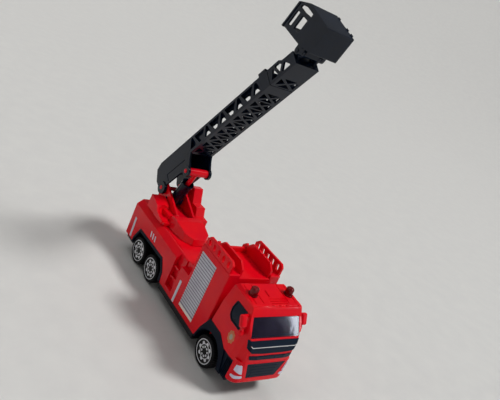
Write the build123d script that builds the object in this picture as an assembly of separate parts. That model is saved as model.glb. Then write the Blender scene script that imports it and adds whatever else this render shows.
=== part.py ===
from build123d import *
from math import atan2, degrees, hypot
import os

# Toy ladder fire engine, in millimetres.
# Frame: +Z up, -Y towards the front of the truck, -X is the truck's right-hand side.
# The pieces are drawn with y = 0 midway between the front bumper and the tail, and moved
# together at the end, so that the origin is on the ground under the middle of the whole.

# ---- Driving dimensions: whole truck ----
LENGTH = 167.0
HALF_WIDTH = 21.5
FRONT_Y = -LENGTH / 2
REAR_Y = LENGTH / 2
WALL = 1.6
PANEL = 0.35

# ---- Wheels and axles ----
TYRE_RADIUS = 10.5
HUB_RADIUS = 8.1
WHEEL_INNER_X = 14.3
WHEEL_OUTER_X = 21.3
AXLE_RADIUS = 1.2
RUNNING_GAP = 0.06
AXLE_Z = TYRE_RADIUS
FRONT_AXLE_Y = -52.2
AXLES = {"front": FRONT_AXLE_Y, "mid": 34.4, "rear": 57.3}

# ---- Chassis ----
CHASSIS_HALF_WIDTH = 13.4
CHASSIS_BOTTOM = 5.5
CHASSIS_PLATE_TOP = 8.5
BODY_BOTTOM = 11.2
SCREW_YS = (-30.0, 12.0, 76.0)
SCREW_RADIUS = 1.0
SCREW_HEAD_RADIUS = 2.1

# ---- Cab ----
CAB_BOTTOM = 26.0
CAB_WALL = 1.4
BUMPER_BACK_Y = -77.3
BUMPER_BOTTOM = 13.5
BUMPER_TOP = 29.2
BEACON_X = 14.5
BEACON_Y = -60.9
BEACON_RADIUS = 2.6
ROOF_Z = 62.2

# ---- Rear body ----
BOX_FRONT_Y = -43.4
BOX_REAR_Y = -8.7
BOX_TOP = 63.3
SIDE_TOP = 37.2
DECK_Z = 41.5
DECK_HALF_WIDTH = 17.2
TROUGH_HALF_WIDTH = 12.8
TROUGH_FLOOR = 60.0
RECESS_Y = (1.8, 10.8)
RECESS_DEPTH = 3.3
RECESS_BOTTOM = 14.6
RAIL_TOP = 71.0
FIN_TOP = 70.6

# ---- Turntable ----
TABLE_Y = 53.8
TABLE_BOTTOM = 41.8
TABLE_FLOOR = 45.5
TABLE_TOP = 48.0
SPINDLE_RADIUS = 6.0
LUG_INNER_X = 6.4
LUG_OUTER_X = 8.1

# ---- Boom: built lying level, pointing forward, then raised to its rest pitch ----
PIVOT_Y = 76.8
PIVOT_Z = 56.5
REST_PITCH = 55.8
BOOM_HALF_WIDTH = 9.9
BOOM_SIDE = 1.5
BOOM_BOTTOM = 8.3
BOOM_TOP = 19.3
FLANGE_EDGE = 4.0
BOOM_END = 131.0
TRUSS_START = 42.0
TRUSS_PITCH = 9.1
PIN_RADIUS = 1.6
INNER_HALF_WIDTH = 7.9
INNER_START = 40.0
INNER_BOTTOM = 10.1
INNER_TOP = 17.2
HEAD_START = 131.4
HEAD_END = 155.0

# ---- Lift cylinder ----
HEAD_PIN = (33.1, -2.4)
FOOT_PIN = (68.8, 52.0)
BARREL_RADIUS = 4.5
BORE_RADIUS = 3.5
BARREL_LENGTH = 20.0
ROD_RADIUS = 1.9
ROD_LENGTH = 19.4
TUBE_RADIUS = 3.0

# ---- Basket ----
BASKET_HINGE = (158.9, 14.5)
BASKET_TILT = 15.0
BASKET_HALF_WIDTH = 11.3
BASKET_WALL = 1.2
KNUCKLE_RADIUS = 2.4
HINGE_PIN_RADIUS = 1.3

SIDES = {"left": 1, "right": -1}
PARTS = {}


# ---- Small helpers ----
def keep(name, shape):
    """Register a finished piece under its node name."""
    PARTS[name] = shape


def block(x0, x1, y0, y1, z0, z1):
    """Axis-aligned block between two corners."""
    size = (x1 - x0, y1 - y0, z1 - z0)
    centre = Pos((x0 + x1) / 2, (y0 + y1) / 2, (z0 + z1) / 2)
    return centre * Box(*size)


def prism_x(points, x0, x1, radius=0.0):
    """Outline in (y, z) swept along X from x0 to x1, with rounded corners."""
    face = Plane.YZ.offset(x0) * Polygon(*points, align=None)
    if radius:
        face = fillet(face.vertices(), radius)
    return extrude(face, x1 - x0, dir=(1, 0, 0))


def prism_y(points, y0, y1, radius=0.0):
    """Outline in (x, z) swept along Y from y0 to y1, with rounded corners."""
    face = Plane((0, y0, 0), x_dir=(1, 0, 0), z_dir=(0, -1, 0)) * Polygon(*points, align=None)
    if radius:
        face = fillet(face.vertices(), radius)
    return extrude(face, y1 - y0, dir=(0, 1, 0))


def prism_z(points, z0, z1, radius=0.0):
    """Outline in (x, y) swept along Z from z0 to z1, with rounded corners."""
    face = Plane.XY.offset(z0) * Polygon(*points, align=None)
    if radius:
        face = fillet(face.vertices(), radius)
    return extrude(face, z1 - z0, dir=(0, 0, 1))


def rod_x(y, z, radius, x0, x1):
    """Round bar along X."""
    return Pos((x0 + x1) / 2, y, z) * Rot(0, 90, 0) * Cylinder(radius, x1 - x0)


def rod_z(x, y, radius, z0, z1):
    """Round bar along Z."""
    return Pos(x, y, (z0 + z1) / 2) * Cylinder(radius, z1 - z0)


def outline_face(points, rounds):
    """Flat outline with chosen corners rounded: rounds maps a corner to its radius."""
    face = Polygon(*points, align=None)
    for (a, b), radius in rounds.items():
        corner = face.vertices().sort_by_distance((a, b, 0))[0]
        face = fillet(corner, radius)
    return face


def both_corners(rounds):
    """The same corner radii on both sides of the centre line."""
    return {**rounds, **{(-a, b): radius for (a, b), radius in rounds.items()}}


def mirrored(points):
    """Close a half outline by its mirror image in the first coordinate."""
    return points + [(-a, b) for a, b in reversed(points)]


def both_sides(solid):
    """A solid and its mirror image across the truck's centre plane."""
    return solid + mirror(solid, about=Plane.YZ)


def on_side(solid, side):
    """Keep a left-hand solid (positive X) or mirror it to the right-hand side."""
    return solid if side > 0 else mirror(solid, about=Plane.YZ)


# ---- Wheels ----
def tyre(side):
    """Ring with rounded shoulders and two grooves round the tread."""
    width = WHEEL_OUTER_X - WHEEL_INNER_X
    middle = (WHEEL_OUTER_X + WHEEL_INNER_X) / 2
    outer = Rot(0, 90, 0) * Cylinder(TYRE_RADIUS, width)
    outer = fillet(outer.edges().filter_by(GeomType.CIRCLE), 1.2)
    ring = outer - Rot(0, 90, 0) * Cylinder(HUB_RADIUS, width + 1)
    for groove_x in (-1.3, 1.3):
        cutter = Rot(0, 90, 0) * Cylinder(TYRE_RADIUS + 1, 0.7)
        cutter -= Rot(0, 90, 0) * Cylinder(TYRE_RADIUS - 0.5, 0.8)
        ring -= Pos(groove_x, 0, 0) * cutter
    return Pos(side * middle, 0, AXLE_Z) * ring


def hub(side):
    """Dished wheel disc with a raised centre cap and a blind axle bore."""
    inner = WHEEL_INNER_X + 1.0
    disc = rod_x(0, AXLE_Z, HUB_RADIUS, inner, WHEEL_OUTER_X - 0.1)
    dish = rod_x(0, AXLE_Z, HUB_RADIUS - 0.9, WHEEL_OUTER_X - 0.6, WHEEL_OUTER_X + 1)
    cap = rod_x(0, AXLE_Z, 2.0, WHEEL_OUTER_X - 0.6, WHEEL_OUTER_X - 0.2)
    bore = rod_x(0, AXLE_Z, AXLE_RADIUS, 0, WHEEL_OUTER_X - 1.2)
    return on_side(disc - dish + cap - bore, side)


def make_wheels():
    for name, y in AXLES.items():
        reach = WHEEL_OUTER_X - 1.2
        keep(f"axle_{name}", rod_x(y, AXLE_Z, AXLE_RADIUS, -reach, reach))
        for word, side in SIDES.items():
            keep(f"tyre_{name}_{word}", Pos(0, y, 0) * tyre(side))
            keep(f"hub_{name}_{word}", Pos(0, y, 0) * hub(side))


# ---- Wheel arches ----
FRONT_ARCH = [(-37.0, 10.9), (-39.9, 20.5), (-45.2, 31.0), (-58.2, 31.0), (-67.0, 25.5), (-71.8, 10.9)]
REAR_ARCH = [(70.4, 10.9), (70.2, 14.8), (64.8, 25.6), (25.3, 27.0), (18.6, 18.5), (17.3, 10.9)]
REAR_OPENING = [(68.6, 10.0), (68.4, 14.0), (63.6, 23.3), (26.6, 24.4), (21.3, 18.0), (20.6, 10.0)]


def front_arch():
    shape = prism_x(FRONT_ARCH, CHASSIS_HALF_WIDTH, HALF_WIDTH + 0.2)
    well = rod_x(FRONT_AXLE_Y - 1.0, AXLE_Z + 0.3, 14.2, CHASSIS_HALF_WIDTH - 1, HALF_WIDTH + 1)
    skirt = block(CHASSIS_HALF_WIDTH - 1, HALF_WIDTH + 1, FRONT_AXLE_Y - 15.2, FRONT_AXLE_Y + 13.2, 0, AXLE_Z + 0.5)
    return shape - well - skirt


def rear_arch():
    shape = prism_x(REAR_ARCH, CHASSIS_HALF_WIDTH, HALF_WIDTH + 0.3)
    return shape - prism_x(REAR_OPENING, CHASSIS_HALF_WIDTH - 1, HALF_WIDTH + 1)


def arch_space(points):
    """Space that a pair of arches takes out of the shells around it."""
    return both_sides(prism_x(points, CHASSIS_HALF_WIDTH, HALF_WIDTH + 2))


# ---- Chassis ----
def axle_box(y0, y1, top, axle_ys):
    """Box that stands between the wheels and carries the axles in its side walls."""
    box = block(-CHASSIS_HALF_WIDTH, CHASSIS_HALF_WIDTH, y0, y1, CHASSIS_BOTTOM, top)
    box -= block(-CHASSIS_HALF_WIDTH + 2, CHASSIS_HALF_WIDTH - 2, y0 + 2, y1 - 2, CHASSIS_PLATE_TOP - 1, top + 1)
    for y in axle_ys:
        box -= rod_x(y, AXLE_Z, AXLE_RADIUS + RUNNING_GAP, -20, 20)
    return box


def make_chassis():
    spine = block(-CHASSIS_HALF_WIDTH, CHASSIS_HALF_WIDTH, -66.0, 81.5, CHASSIS_BOTTOM, CHASSIS_PLATE_TOP)
    front_box = axle_box(-66.0, -43.6, 24.0, [AXLES["front"]])
    rear_box = axle_box(21.0, 69.5, 22.6, [AXLES["mid"], AXLES["rear"]])
    spine -= block(-CHASSIS_HALF_WIDTH + 2, CHASSIS_HALF_WIDTH - 2, -64, -45.6, CHASSIS_PLATE_TOP - 1, 9)
    spine -= block(-CHASSIS_HALF_WIDTH + 2, CHASSIS_HALF_WIDTH - 2, 23, 67.5, CHASSIS_PLATE_TOP - 1, 9)
    sills = block(-20.9, 20.9, -36.4, 16.8, 6.6, BODY_BOTTOM) - block(-11.4, 11.4, -34.4, 14.8, 8.5, 12)
    tail = block(-19.6, 19.6, 71.0, 81.5, 8.0, BODY_BOTTOM) - block(-11.4, 11.4, 73, 79.5, 8.5, 12)
    nose = block(-CHASSIS_HALF_WIDTH, CHASSIS_HALF_WIDTH, -80.4, -65.0, BUMPER_BOTTOM + 0.4, BUMPER_BOTTOM + 2.4)
    chassis = spine + front_box + rear_box + sills + tail + nose
    for y in SCREW_YS:
        chassis += rod_z(0, y, 3.2, CHASSIS_PLATE_TOP - 1, 12.0)
        chassis -= rod_z(0, y, SCREW_RADIUS, 0, 13)
        chassis -= rod_z(0, y, SCREW_HEAD_RADIUS + 0.1, 0, CHASSIS_BOTTOM + 1.0)
    keep("chassis", chassis)
    screws = [screw(y) for y in SCREW_YS]
    keep("chassis_screws", Compound(screws))


def screw(y):
    """Pan-head screw with a cross recess, driven up into the rear body."""
    head = rod_z(0, y, SCREW_HEAD_RADIUS, CHASSIS_BOTTOM - 0.2, CHASSIS_BOTTOM + 1.0)
    shank = rod_z(0, y, SCREW_RADIUS, CHASSIS_BOTTOM + 1.0, 17.0)
    slot = block(-1.2, 1.2, y - 0.25, y + 0.25, 0, CHASSIS_BOTTOM + 0.3)
    slot += block(-0.25, 0.25, y - 1.2, y + 1.2, 0, CHASSIS_BOTTOM + 0.3)
    return head + shank - slot


# ---- Cab ----
CAB_PROFILE = [
    (-45.9, CAB_BOTTOM), (-49.4, 60.8), (-51.2, 63.3), (-70.9, 61.5), (-73.7, 55.7), (-80.2, 45.2),
    (-82.2, 40.5), (-83.3, 34.0), (-83.4, BUMPER_TOP), (-77.3, BUMPER_TOP), (-77.3, CAB_BOTTOM),
]
CAB_PROFILE_ROUNDS = {
    (-49.4, 60.8): 1.2, (-51.2, 63.3): 1.2, (-70.9, 61.5): 2.4, (-73.7, 55.7): 3.0,
    (-80.2, 45.2): 4.0, (-82.2, 40.5): 6.0,
}
CAB_PLAN = [(21.5, -40.0), (21.5, -73.0), (20.7, -77.5), (18.2, -82.6), (9.0, FRONT_Y)]
CAB_PLAN_ROUNDS = both_corners({(21.5, -73.0): 6.0, (20.7, -77.5): 5.0, (18.2, -82.6): 2.6, (9.0, FRONT_Y): 8.0})
CAB_FRONT_VIEW = [(21.5, 15.0), (21.5, 49.0), (19.7, 61.2), (17.8, 63.6)]
CAB_FRONT_ROUNDS = both_corners({(21.5, 49.0): 8.0, (19.7, 61.2): 1.6, (17.8, 63.6): 1.4})


def cab_envelope(inset):
    """Outer form of the cab, shrunk inwards by inset (or grown, if negative)."""
    side_face = Plane.YZ * outline_face(CAB_PROFILE, CAB_PROFILE_ROUNDS)
    plan_face = outline_face(mirrored(CAB_PLAN), CAB_PLAN_ROUNDS)
    front_face = Plane.XZ * outline_face(mirrored(CAB_FRONT_VIEW), CAB_FRONT_ROUNDS)
    if inset:
        side_face = offset(side_face, -inset, kind=Kind.INTERSECTION)
        plan_face = offset(plan_face, -inset, kind=Kind.INTERSECTION)
        front_face = offset(front_face, -inset, kind=Kind.INTERSECTION)
    from_side = extrude(side_face, 30, dir=(1, 0, 0), both=True)
    from_above = extrude(plan_face, 90, dir=(0, 0, 1))
    from_front = extrude(front_face, 100, dir=(0, -1, 0))
    return from_side & from_above & from_front


WINDSCREEN_VIEW = [(19.7, 45.2), (18.7, 55.9)]
DOOR_WINDOW = [(-58.2, 55.8), (-57.3, 50.4), (-58.2, 45.6), (-60.8, 43.4), (-72.6, 43.4), (-74.4, 45.4), (-69.6, 55.8)]


def windscreen_space():
    return prism_y(mirrored(WINDSCREEN_VIEW), -90, -70.5, 0.8)


def door_window_space():
    return prism_x(DOOR_WINDOW, 17.0, 25.0, 0.8)


def roof_grooves():
    """Shallow pressed lines along the roof, a slot near its middle and a row of dimples in front."""
    cuts = [block(x - 0.3, x + 0.3, -68.6, -52.5, ROOF_Z - 0.9, 66) for x in (-16.4, -10.4, 10.4, 16.4)]
    cuts += [block(-4.4, 9.4, y - 0.25, y + 0.25, ROOF_Z - 1.2, 66) for y in (-68.6, -66.7, -64.8)]
    cuts.append(block(-3.0, -2.0, -63.1, -57.4, ROOF_Z - 1.3, 66))
    slope = Pos(0, -60.9, ROOF_Z) * Rot(5.2, 0, 0) * Pos(0, 60.9, -ROOF_Z)
    floor = slope * block(-20, 20, -75, -45, ROOF_Z - 3, ROOF_Z - 0.35)
    grooves = cuts[0]
    for cut in cuts[1:]:
        grooves += cut
    grooves -= floor
    for x in (-4.6, 1.0, 6.4, 16.6):
        grooves += rod_z(x, -70.4, 0.45, 60.9, 64)
    return grooves


def cab_shell():
    outer = cab_envelope(0)
    inner = cab_envelope(CAB_WALL)
    inner += block(-19.9, 19.9, -75.8, -47.6, CAB_BOTTOM - 1, CAB_BOTTOM + CAB_WALL + 1)
    shell = outer - inner - arch_space(FRONT_ARCH) - roof_grooves()
    shell -= windscreen_space()
    return shell - both_sides(door_window_space())


def cab_skin(half_outline, proud, depth, radius=0.5):
    """Thin piece on the cab's front face: an (x, z) outline standing proud by depth."""
    skin = cab_envelope(-proud - depth) - cab_envelope(-proud)
    return skin & prism_y(mirrored(half_outline), -95, -76.5, radius)


def make_cab():
    keep("cab_shell", cab_shell())
    glass = cab_envelope(0.3) - cab_envelope(1.3)
    keep("windscreen", glass & windscreen_space())
    for word, side in SIDES.items():
        keep(f"door_window_{word}", on_side(glass & door_window_space(), side))
    keep("grille_band", cab_skin([(8.0, 36.2), (16.6, 36.8), (19.4, 38.6), (20.2, 44.2)], 0, PANEL))
    keep("grille_trim", cab_skin([(17.4, 40.3), (18.9, 41.5), (18.6, 41.8), (17.2, 40.8)], PANEL, 0.3, 0))
    keep("grille_slot", cab_skin([(15.9, 31.8), (17.3, 34.7)], 0, PANEL))
    make_beacons()
    make_mirrors()
    make_cab_inside()


def make_beacons():
    for word, side in SIDES.items():
        body = rod_z(BEACON_X, BEACON_Y, BEACON_RADIUS, ROOF_Z - 1.0, ROOF_Z + 5.7)
        body = fillet(body.edges().group_by(Axis.Z)[-1], 1.6)
        collar = rod_z(BEACON_X, BEACON_Y, BEACON_RADIUS + 0.5, ROOF_Z - 1.0, ROOF_Z + 0.9)
        keep(f"beacon_{word}", on_side(body + collar - cab_envelope(0), side))


def make_mirrors():
    """Each mirror is one moulding, raked like the windscreen: a tall head, a kerb mirror and two arms."""
    head = fillet(Box(4.6, 3.4, 7.8).edges(), 1.4)
    kerb = fillet(Box(3.4, 3.2, 3.6).edges(), 1.3)
    link = Pos(-0.8, 1.2, -4.7) * Box(1.4, 2.0, 3.4)
    moulding = Pos(24.6, -72.9, 52.8) * Rot(-28, 0, 0) * (head + link)
    moulding += Pos(23.6, -74.3, 45.4) * Rot(-28, 0, 0) * kerb
    arms = block(19.0, 24.0, -72.0, -70.6, 54.6, 56.0) + block(20.5, 23.4, -74.6, -73.2, 44.8, 46.2)
    moulding += arms - cab_envelope(0)
    for word, side in SIDES.items():
        keep(f"mirror_{word}", on_side(moulding, side))


def make_cab_inside():
    """Seat tray behind the dark glass, with two seats, a dashboard and a wheel."""
    tray = block(-19.6, 19.6, -78.0, -48.8, 31.5, 33.0)
    for x in (-9.5, 9.5):
        tray += block(x - 5.5, x + 5.5, -66.0, -54.5, 33.0, 38.0)
        tray += block(x - 5.5, x + 5.5, -56.5, -53.5, 38.0, 51.0)
    tray += block(-18.5, 18.5, -77.0, -73.0, 33.0, 42.0)
    tray += Pos(9.5, -71.0, 42.5) * Rot(-55, 0, 0) * (Cylinder(3.6, 1.0) - Cylinder(2.6, 1.2) + Box(6.4, 1, 1))
    tray += Pos(9.5, -72.6, 41.2) * Rot(-55 + 90, 0, 0) * Box(1.6, 3.6, 1.6)
    keep("cab_seats", tray & cab_envelope(CAB_WALL + 0.1))


# ---- Bumper and lamps ----
BUMPER_PLAN = [(21.5, BUMPER_BACK_Y), (21.5, -79.2), (19.6, -81.9), (16.5, -83.2), (9.0, FRONT_Y)]
BUMPER_ROUNDS = both_corners({(21.5, -79.2): 1.8, (19.6, -81.9): 2.4, (16.5, -83.2): 4.0, (9.0, FRONT_Y): 8.0})
LOWER_GRILLE = [(11.5, 17.4), (15.5, 28.6)]
HEADLAMP = [(16.1, 20.8), (18.3, 27.2), (20.7, 26.3), (20.9, 22.2), (18.0, 21.0)]
FOG_LAMP = [(14.8, 17.9), (15.3, 19.4), (18.0, 19.1), (21.2, 19.0), (21.3, 17.6), (20.2, 17.0), (18.5, 17.1)]


def bumper_envelope(inset):
    """Bumper block, rounded at its corners, shrunk inwards by inset."""
    face = outline_face(mirrored(BUMPER_PLAN), BUMPER_ROUNDS)
    if inset:
        face = offset(face, -inset, kind=Kind.INTERSECTION)
    return extrude(Plane.XY.offset(BUMPER_BOTTOM) * face, BUMPER_TOP - BUMPER_BOTTOM, dir=(0, 0, 1))


def lamp(outline):
    skin = bumper_envelope(-PANEL) - bumper_envelope(0)
    return skin & prism_y(outline, -95, BUMPER_BACK_Y - 0.4, 0.4)


def make_bumper():
    outer = bumper_envelope(0)
    outer = fillet(outer.edges().group_by(Axis.Z)[0].filter_by(lambda edge: edge.center().Y < -78), 1.0)
    shell = outer - block(-19.2, 19.2, -80.6, -70, 10, BUMPER_TOP - 1.4)
    opening = prism_y(mirrored(LOWER_GRILLE), -95, -78, 0.6)
    lip = block(-22, 22, -84.0, -83.2, BUMPER_TOP - 0.3, BUMPER_TOP + 1)
    seam = prism_y([(12.0, 13.0), (17.9, 29.6), (18.2, 29.6), (12.3, 13.0)], -90, -82.2)
    keep("bumper", shell - opening - lip - (both_sides(seam) - bumper_envelope(0.3)))
    plate = (bumper_envelope(0.15) & opening) - block(-30, 30, -82.2, -70, 0, 40)
    for row in range(4):
        z = 19.2 + 2.3 * row
        plate -= block(-30, 30, -90, -83.22, z, z + 0.3)
    keep("grille_lower", plate)
    for word, side in SIDES.items():
        lamps = [on_side(lamp(outline), side) for outline in (HEADLAMP, FOG_LAMP)]
        keep(f"headlamps_{word}", Compound(lamps))


def make_steps():
    """Black cab step between the bumper and the front arch, with two treads."""
    steps = block(CHASSIS_HALF_WIDTH, 20.9, BUMPER_BACK_Y, -60.0, 11.0, CAB_BOTTOM)
    steps -= arch_space(FRONT_ARCH)
    for index in range(4):
        y = BUMPER_BACK_Y + 0.9 + 1.35 * index
        steps -= block(19.4, 22, y, y + 0.8, 12.4, 24.6)
    for word, side in SIDES.items():
        keep(f"cab_step_{word}", on_side(steps, side))


# ---- Rear body ----
def body_outer():
    front_box = block(-HALF_WIDTH, HALF_WIDTH, BOX_FRONT_Y, BOX_REAR_Y, BODY_BOTTOM, BOX_TOP)
    front_box = fillet(front_box.edges().filter_by(Axis.Z) + front_box.edges().group_by(Axis.Z)[-1], 1.0)
    section = outline_face(
        mirrored([(HALF_WIDTH, BODY_BOTTOM), (HALF_WIDTH, SIDE_TOP), (DECK_HALF_WIDTH, DECK_Z)]),
        both_corners({(HALF_WIDTH, SIDE_TOP): 1.2, (DECK_HALF_WIDTH, DECK_Z): 1.2}),
    )
    start = Plane((0, BOX_REAR_Y - 2, 0), x_dir=(1, 0, 0), z_dir=(0, -1, 0))
    low = extrude(start * section, REAR_Y - BOX_REAR_Y + 2, dir=(0, 1, 0))
    low = fillet(low.edges().group_by(Axis.Y)[-1].filter_by(lambda edge: edge.center().Z > BODY_BOTTOM + 0.5), 1.0)
    trough = block(-TROUGH_HALF_WIDTH, TROUGH_HALF_WIDTH, BOX_FRONT_Y - 1, BOX_REAR_Y + 1, TROUGH_FLOOR, 80)
    return front_box + low - trough


def body_hollow():
    front = block(-HALF_WIDTH + WALL, HALF_WIDTH - WALL, BOX_FRONT_Y + WALL, BOX_REAR_Y - WALL, 0, 58.2)
    inner = [(HALF_WIDTH - WALL, 0), (HALF_WIDTH - WALL, SIDE_TOP - 0.7), (DECK_HALF_WIDTH - 0.7, DECK_Z - WALL)]
    low = prism_y(mirrored(inner), BOX_REAR_Y - 4, REAR_Y - WALL)
    return front + low


def side_recess():
    """Stack of pockets let into each side behind the front box."""
    depth_x = HALF_WIDTH - RECESS_DEPTH
    cut = block(depth_x, 25, RECESS_Y[0], RECESS_Y[1], RECESS_BOTTOM, 50)
    for z in (22.2, 30.4):
        cut -= block(depth_x, 20.4, RECESS_Y[0], RECESS_Y[1], z, z + 1.2)
    return cut


def make_body():
    shell = body_outer() - body_hollow()
    backing = block(14.6, HALF_WIDTH - 0.4, BOX_REAR_Y - 1, RECESS_Y[1] + WALL, BODY_BOTTOM, DECK_Z - 1)
    backing &= body_outer()
    shell += both_sides(backing)
    ledge = block(DECK_HALF_WIDTH + 0.2, 25, BOX_REAR_Y, RECESS_Y[0] + 0.1, SIDE_TOP - 0.6, 50)
    shell -= both_sides(side_recess() + ledge)
    shell += rod_z(0, TABLE_Y, SPINDLE_RADIUS + 3, 36.0, DECK_Z - 0.5)
    for y, top in zip(SCREW_YS, (59.0, DECK_Z - 0.5, DECK_Z - 0.5)):
        shell += rod_z(0, y, 2.8, 12.0, top)
        shell -= rod_z(0, y, SCREW_RADIUS, 0, 17.0)
    shell -= rod_z(0, TABLE_Y, SPINDLE_RADIUS + RUNNING_GAP, 30, 50)
    shell -= arch_space(FRONT_ARCH) + arch_space(REAR_ARCH)
    shell -= both_sides(block(DECK_HALF_WIDTH - 1.2, DECK_HALF_WIDTH - 0.8, 14.0, REAR_Y - 4, DECK_Z - 0.3, 50))
    keep("body_shell", shell)
    make_handrails()
    make_cradle()


def make_handrails():
    """Pierced side rails on the roof edges of the front box."""
    outline = [(-42.4, BOX_TOP), (-42.4, 69.0), (-40.2, RAIL_TOP), (-13.4, RAIL_TOP), (-10.6, 68.4), (-10.6, BOX_TOP)]
    rail = prism_x(outline, 19.7, 21.3)
    for index in range(5):
        y = -38.6 + 5.9 * index
        slot = [(y - 1.2, 64.8), (y + 1.2, 64.8), (y + 2.0, 69.2), (y - 0.4, 69.2)]
        rail -= prism_x(slot, 19, 22, 1.0)
    for word, side in SIDES.items():
        keep(f"handrail_{word}", on_side(rail, side))


def make_cradle():
    """Boom rest: a floor with a rounded front lip, two long fins and a cross bar."""
    y0 = BOX_FRONT_Y + 0.1
    floor = block(-TROUGH_HALF_WIDTH, TROUGH_HALF_WIDTH, y0, BOX_REAR_Y, TROUGH_FLOOR, TROUGH_FLOOR + 1)
    floor = fillet(floor.edges().group_by(Axis.Z)[-1].group_by(Axis.Y)[0], 0.7)
    outline = [
        (y0 + 1.0, TROUGH_FLOOR), (y0 + 1.0, 66.6), (y0 + 5.2, FIN_TOP), (-17.6, FIN_TOP), (-14.6, 67.6),
        (-13.2, 66.4), (-11.8, 67.4), (BOX_REAR_Y, 64.4), (BOX_REAR_Y, TROUGH_FLOOR),
    ]
    rounds = {(y0 + 1.0, 66.6): 2.4, (y0 + 5.2, FIN_TOP): 2.0, (-17.6, FIN_TOP): 1.2, (-11.8, 67.4): 0.6}
    face = outline_face(outline, rounds)
    fin = extrude(Plane.YZ.offset(TROUGH_HALF_WIDTH - 1.5) * face, 1.5, dir=(1, 0, 0))
    scallops = [rod_x(-36.0 + 4.4 * index, FIN_TOP + 2.7, 3.2, 10, 14) for index in range(4)]
    left_fin = fin - scallops[0] - scallops[1] - scallops[2] - scallops[3]
    bar = block(-TROUGH_HALF_WIDTH, TROUGH_HALF_WIDTH, -14.0, -11.6, TROUGH_FLOOR, 64.2)
    keep("boom_cradle", floor + left_fin + mirror(fin, about=Plane.YZ) + bar)


# ---- Trim on the sides ----
STRIPES = [
    [(-5.3, 11.6), (-3.0, 11.6), (-3.0, 28.9), (-5.3, 28.9)],
    [(73.6, 12.2), (75.9, 12.2), (77.0, 28.4), (74.7, 28.4)],
]


def make_stripes():
    """Four reflective stickers, one behind each shutter and one at each rear corner."""
    stripes = []
    for side in SIDES.values():
        for outline in STRIPES:
            stripes.append(on_side(prism_x(outline, HALF_WIDTH, HALF_WIDTH + 0.25), side))
    keep("reflective_stripes", Compound(stripes))


def make_side_trim():
    make_stripes()
    for word, side in SIDES.items():
        outside = (HALF_WIDTH, HALF_WIDTH + 0.25)
        shutter = block(*outside, -30.3, -11.8, 15.2, 58.8)
        for row in range(20):
            z = 17.6 + 2.05 * row
            shutter -= block(HALF_WIDTH + 0.12, 23, -29.9, -12.2, z, z + 0.75)
        keep(f"shutter_{word}", on_side(shutter, side))
        keep(f"front_arch_{word}", on_side(front_arch(), side))
        keep(f"rear_arch_{word}", on_side(rear_arch(), side))


# ---- Turntable ----
NOSE_PLAN = [(13.4, 48.8), (13.8, 38.0), (11.6, 26.2), (5.4, 19.8)]
SKIRT_PLAN = [(13.0, 60.0), (19.6, 60.0), (19.6, 46.4), (17.6, 44.0), (13.0, 43.2)]


def table_disc():
    return rod_z(0, TABLE_Y, 16.4, TABLE_BOTTOM, TABLE_BOTTOM + 1.4)


def console_skirt():
    """Floor of the operator's place, at the truck's right-hand side of the turntable."""
    rounds = {(19.6, 46.4): 1.6, (17.6, 44.0): 1.6}
    plan = mirror(outline_face(SKIRT_PLAN, rounds), about=Plane.YZ)
    return extrude(Plane.XY.offset(TABLE_BOTTOM + 0.3) * plan, 2.2, dir=(0, 0, 1))


def make_turntable():
    spindle = rod_z(0, TABLE_Y, SPINDLE_RADIUS, 35.6, TABLE_BOTTOM + 0.5)
    spindle -= rod_z(0, TABLE_Y, 1.2, 30, TABLE_BOTTOM)
    plan = outline_face(mirrored(NOSE_PLAN), both_corners({(13.8, 38.0): 4.0, (11.6, 26.2): 3.0, (5.4, 19.8): 3.0}))
    nose = extrude(Plane.XY.offset(TABLE_BOTTOM) * plan, 8.2, dir=(0, 0, 1), taper=14)
    nose -= prism_x([(15.0, 46.0), (22.0, 46.3), (40.0, 49.8), (60.0, 49.8), (60.0, 60.0), (15.0, 60.0)], -20, 20)
    deck = block(-13.4, 13.4, 48.8, 80.6, TABLE_BOTTOM, TABLE_TOP)
    well = block(-LUG_OUTER_X, LUG_OUTER_X, 45.8, 80.9, TABLE_FLOOR, 60)
    table = table_disc() + spindle + nose + deck + console_skirt() - well
    table = table + block(-13.4, 13.4, 79.0, 80.6, TABLE_BOTTOM, TABLE_FLOOR)
    keep("turntable", table)
    keep("turntable_washer", rod_z(0, TABLE_Y, 8.2, 34.8, 35.6) - rod_z(0, TABLE_Y, 1.2, 30, 40))
    bolt = rod_z(0, TABLE_Y, 2.4, 33.4, 34.8) + rod_z(0, TABLE_Y, 1.2, 34.8, 40.5)
    keep("turntable_screw", bolt - block(-2, 2, TABLE_Y - 0.3, TABLE_Y + 0.3, 33, 34.0))
    make_bracket()
    make_console()
    make_access_steps()


def make_bracket():
    """Pair of lugs that carry the boom pivot and the foot of the lift cylinder."""
    outline = [
        (47.4, TABLE_FLOOR), (47.4, 49.6), (72.2, 60.2), (75.4, 61.4), (78.2, 61.4), (81.0, 59.0),
        (81.4, 55.0), (80.6, 50.6), (80.6, TABLE_FLOOR),
    ]
    lug = prism_x(outline, LUG_INNER_X, LUG_OUTER_X)
    web = block(0, LUG_OUTER_X, 78.9, 80.6, TABLE_FLOOR, 50.4) + block(0, LUG_OUTER_X, 47.4, 49.0, TABLE_FLOOR, 47.6)
    floor = block(0, LUG_OUTER_X, 47.4, 80.6, TABLE_FLOOR, TABLE_FLOOR + 0.8)
    bracket = both_sides(lug + web + floor)
    bracket -= rod_x(PIVOT_Y, PIVOT_Z, PIN_RADIUS + RUNNING_GAP, -20, 20)
    bracket -= rod_x(FOOT_PIN[0], FOOT_PIN[1], 1.5 + RUNNING_GAP, -20, 20)
    keep("boom_bracket", bracket)


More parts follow.
